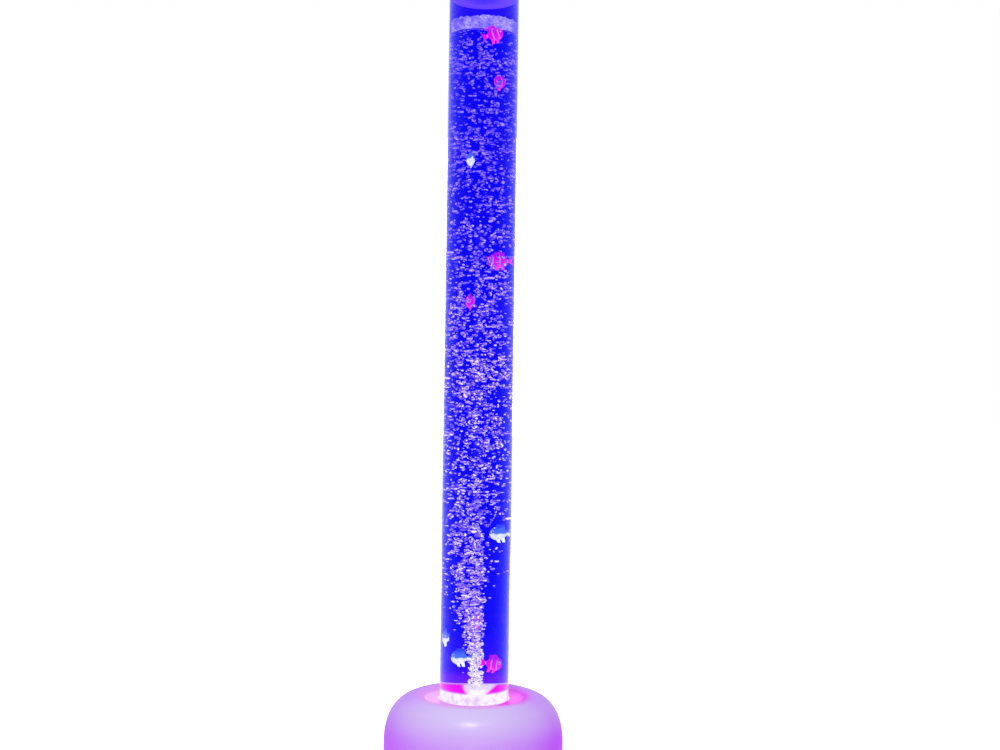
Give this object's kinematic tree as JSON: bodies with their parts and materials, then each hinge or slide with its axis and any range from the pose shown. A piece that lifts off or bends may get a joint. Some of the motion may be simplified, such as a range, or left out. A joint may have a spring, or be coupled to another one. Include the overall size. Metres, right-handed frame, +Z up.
{
  "type": "bubble tube floor lamp",
  "caption": "Tall clear water tube with drifting fish and a bubble outlet, standing in a round shouldered base with pump, light ring and controls.",
  "frame": {"origin": "centre of the floor area under the base, on the resting plane", "axes": "+Z up along the tube, -Y the front that faces the viewer, +Y the back with the controls"},
  "size_m": [0.258, 0.258, 1.2],
  "materials": {
    "shell_plastic": "translucent white, lit lavender from inside",
    "plate_plastic": "moulded matte",
    "rubber": "matte",
    "screw_steel": "zinc plated",
    "white_plastic": "moulded matte",
    "clear_sealant": "clear",
    "clear_acrylic": "clear polished",
    "clear_hose": "clear",
    "magnet_iron": "sintered",
    "brass": "turned",
    "led_yellow": "clear",
    "lead_red": "insulated wire",
    "lead_gray": "insulated wire",
    "black_plastic": "moulded matte",
    "panel_plastic": "fine grained",
    "board_green": "solder mask",
    "button_red": "gloss",
    "button_white": "gloss",
    "window_red": "dark clear",
    "cap_plastic": "translucent white, lit violet from below",
    "fish_orange": "painted with white bands",
    "fish_blue": "painted, white belly"
  },
  "bodies": {
    "base": {"base_shell": "shell_plastic", "base_plate": "plate_plastic", "feet": "rubber", "shell_screws": "screw_steel", "tube_stand": "white_plastic", "stand_screws": "screw_steel", "sealant_bead": "clear_sealant", "tube": "clear_acrylic", "tank_floor": "clear_acrylic", "nozzle": "white_plastic", "nozzle_washer": "rubber", "nozzle_nut": "white_plastic", "upper_hose": "clear_hose", "valve_top": "white_plastic", "valve_body": "white_plastic", "lower_hose": "clear_hose", "pump_cover": "white_plastic", "diaphragm": "rubber", "pump_head": "white_plastic", "motor_can": "screw_steel", "motor_magnets": "magnet_iron", "pump_sleeve": "rubber", "pump_cradle": "plate_plastic", "cradle_screws": "screw_steel", "ring_board": "white_plastic", "leds": "led_yellow", "ring_lead": "lead_red", "pump_lead": "black_plastic", "receiver_lead": "lead_gray", "rear_panel": "panel_plastic", "control_board": "board_green", "board_screws": "screw_steel", "switches": "black_plastic", "power_inlet": "black_plastic", "receiver_window": "window_red", "receiver": "black_plastic", "drain_pipe": "white_plastic"},
    "cap": {"cap_plug": "cap_plastic", "cap_seal": "rubber", "cap_top": "cap_plastic"},
    "power_button_body": {"power_button": "button_red"},
    "mode_button_body": {"mode_button": "button_white"},
    "drain_plug_body": {"drain_plug": "rubber"},
    "rotor_body": {"motor_rotor": "brass"},
    "valve_disc_body": {"valve_disc": "rubber"},
    "fish_1_body": {"fish_1": "fish_orange"},
    "fish_2_body": {"fish_2": "fish_orange"},
    "fish_3_body": {"fish_3": "fish_blue"},
    "fish_4_body": {"fish_4": "fish_orange"},
    "fish_5_body": {"fish_5": "fish_orange"},
    "fish_6_body": {"fish_6": "fish_blue"},
    "fish_7_body": {"fish_7": "fish_orange"},
    "fish_8_body": {"fish_8": "fish_blue"},
    "fish_9_body": {"fish_9": "fish_blue"},
    "fish_10_body": {"fish_10": "fish_orange"}
  },
  "joints": [
    {"name": "cap_lift", "type": "slide", "parent": "base", "child": "cap", "axis": [0, 0, 1], "range_m": [0, 0.06]},
    {"name": "power_button_press", "type": "slide", "parent": "base", "child": "power_button_body", "axis": [0, -1, 0], "range_m": [0, 0.0012], "stiffness_N_per_m": 600},
    {"name": "mode_button_press", "type": "slide", "parent": "base", "child": "mode_button_body", "axis": [0, -1, 0], "range_m": [0, 0.0012], "stiffness_N_per_m": 600},
    {"name": "drain_plug_pull", "type": "slide", "parent": "base", "child": "drain_plug_body", "axis": [0, 1, 0], "range_m": [0, 0.025]},
    {"name": "rotor_spin", "type": "hinge", "parent": "base", "child": "rotor_body", "pos_m": [0.004, 0, 0.03], "axis": [0, 0, 1], "continuous": true},
    {"name": "valve_disc_lift", "type": "slide", "parent": "base", "child": "valve_disc_body", "axis": [0, 0, 1], "range_m": [0, 0.0015]},
    {"name": "fish_1_drift", "type": "slide", "parent": "base", "child": "fish_1_body", "axis": [0, 0, 1], "range_m": [-0.912, 0.001]},
    {"name": "fish_2_drift", "type": "slide", "parent": "base", "child": "fish_2_body", "axis": [0, 0, 1], "range_m": [-0.856, 0.046]},
    {"name": "fish_3_drift", "type": "slide", "parent": "base", "child": "fish_3_body", "axis": [0, 0, 1], "range_m": [-0.74, 0.163]},
    {"name": "fish_4_drift", "type": "slide", "parent": "base", "child": "fish_4_body", "axis": [0, 0, 1], "range_m": [-0.596, 0.307]},
    {"name": "fish_5_drift", "type": "slide", "parent": "base", "child": "fish_5_body", "axis": [0, 0, 1], "range_m": [-0.537, 0.365]},
    {"name": "fish_6_drift", "type": "slide", "parent": "base", "child": "fish_6_body", "axis": [0, 0, 1], "range_m": [-0.205, 0.698]},
    {"name": "fish_7_drift", "type": "slide", "parent": "base", "child": "fish_7_body", "axis": [0, 0, 1], "range_m": [-0.074, 0.828]},
    {"name": "fish_8_drift", "type": "slide", "parent": "base", "child": "fish_8_body", "axis": [0, 0, 1], "range_m": [-0.054, 0.848]},
    {"name": "fish_9_drift", "type": "slide", "parent": "base", "child": "fish_9_body", "axis": [0, 0, 1], "range_m": [-0.031, 0.872]},
    {"name": "fish_10_drift", "type": "slide", "parent": "base", "child": "fish_10_body", "axis": [0, 0, 1], "range_m": [-0.021, 0.882]}
  ]
}
